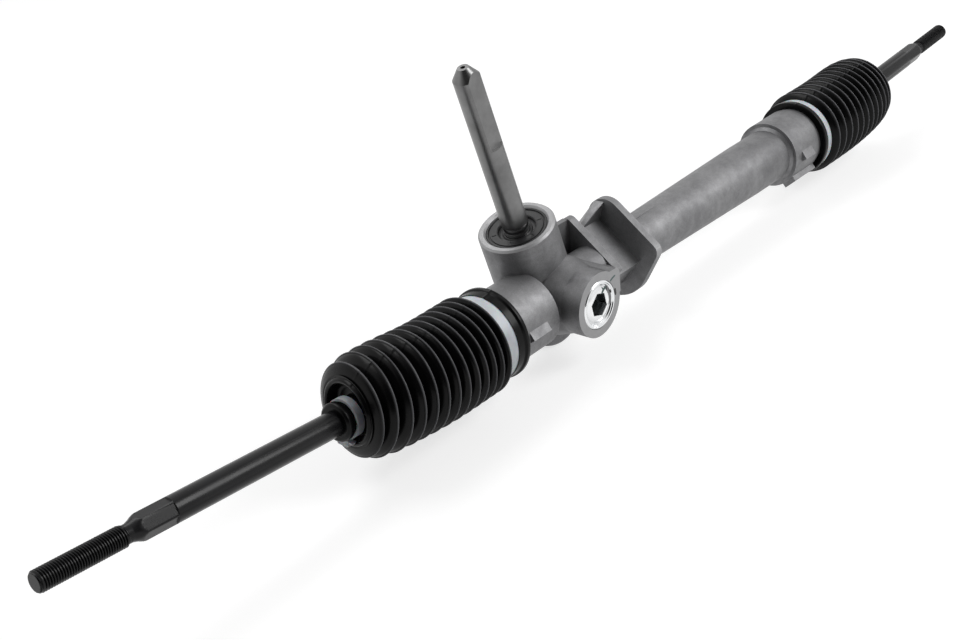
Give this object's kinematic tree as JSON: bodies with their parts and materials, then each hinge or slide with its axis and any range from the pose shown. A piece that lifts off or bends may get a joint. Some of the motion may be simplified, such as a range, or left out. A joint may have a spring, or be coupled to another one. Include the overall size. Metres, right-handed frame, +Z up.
{
  "type": "steering rack",
  "caption": "Manual rack and pinion steering gear with leaning input shaft, clamp saddle, ribbed boots and threaded tie rods.",
  "frame": {"origin": "on the rack's axis, in the middle of the clamp saddle that fixes the housing to the car", "axes": "+X along the rack to the plain far end, -Y out of the support yoke's plug, +Z up on the input shaft's side"},
  "size_m": [0.9529, 0.0757, 0.2053],
  "materials": {
    "cast_aluminium": "die cast, bead blasted",
    "ground_steel": "ground and polished",
    "phosphated_steel": "dark phosphate",
    "black_rod_steel": "black, semi-gloss",
    "bearing_steel": "polished",
    "zinc_plate": "bright zinc plate",
    "spring_steel": "oiled",
    "sintered_bronze": "oil-filled",
    "seal_rubber": "moulded",
    "boot_rubber": "moulded, satin",
    "black_plastic": "moulded",
    "natural_nylon": "translucent",
    "acetal": "moulded"
  },
  "bodies": {
    "housing": {"housing": "cast_aluminium", "rack_bush": "acetal", "pinion_bush": "sintered_bronze", "bearing_outer_ring": "bearing_steel", "pinion_circlip": "spring_steel", "pinion_seal": "seal_rubber", "support_yoke": "cast_aluminium", "yoke_liner": "acetal", "yoke_ring": "seal_rubber", "yoke_spring": "spring_steel", "yoke_plug": "zinc_plate", "near_boot": "boot_rubber", "near_boot_band": "natural_nylon", "far_boot": "boot_rubber", "far_boot_band": "natural_nylon"},
    "rack": {"rack": "ground_steel", "near_lock_washer": "spring_steel", "near_ball_housing": "phosphated_steel", "far_lock_washer": "spring_steel", "far_ball_housing": "phosphated_steel"},
    "pinion": {"pinion": "phosphated_steel", "bearing_inner_ring": "bearing_steel", "bearing_balls": "bearing_steel"},
    "near_ball_seat": {"near_ball_seat": "acetal"},
    "near_tie_rod": {"near_tie_rod": "black_rod_steel", "near_boot_clip": "natural_nylon"},
    "far_ball_seat": {"far_ball_seat": "acetal"},
    "far_tie_rod": {"far_tie_rod": "black_rod_steel", "far_boot_clip": "natural_nylon"}
  },
  "joints": [
    {"name": "rack_travel", "type": "slide", "parent": "housing", "child": "rack", "axis": [1, 0, 0], "range_m": [-0.07, 0.07], "deforming": ["near_boot", "far_boot"]},
    {"name": "pinion_turn", "type": "hinge", "parent": "housing", "child": "pinion", "pos_m": [-0.054, 0.014, 0], "axis": [-0.2857, 0, 0.9583], "range_deg": [-574, 574]},
    {"name": "near_rod_rise", "type": "hinge", "parent": "rack", "child": "near_ball_seat", "pos_m": [-0.177, 0, 0], "axis": [0, 1, 0], "range_deg": [-16.6, 7.4]},
    {"name": "near_rod_swing", "type": "hinge", "parent": "near_ball_seat", "child": "near_tie_rod", "pos_m": [-0.177, 0, 0], "axis": [0.0802, 0, 0.9968], "range_deg": [-6, 6]},
    {"name": "far_rod_rise", "type": "hinge", "parent": "rack", "child": "far_ball_seat", "pos_m": [0.306, 0, 0], "axis": [0, -1, 0], "range_deg": [-15.45, 8.55]},
    {"name": "far_rod_swing", "type": "hinge", "parent": "far_ball_seat", "child": "far_tie_rod", "pos_m": [0.306, 0, 0], "axis": [-0.0602, 0, 0.9982], "range_deg": [-6, 6]}
  ],
  "couplings": [
    {"joint": "pinion_turn", "follows": "rack_travel", "rad_per_m": 142.86}
  ]
}
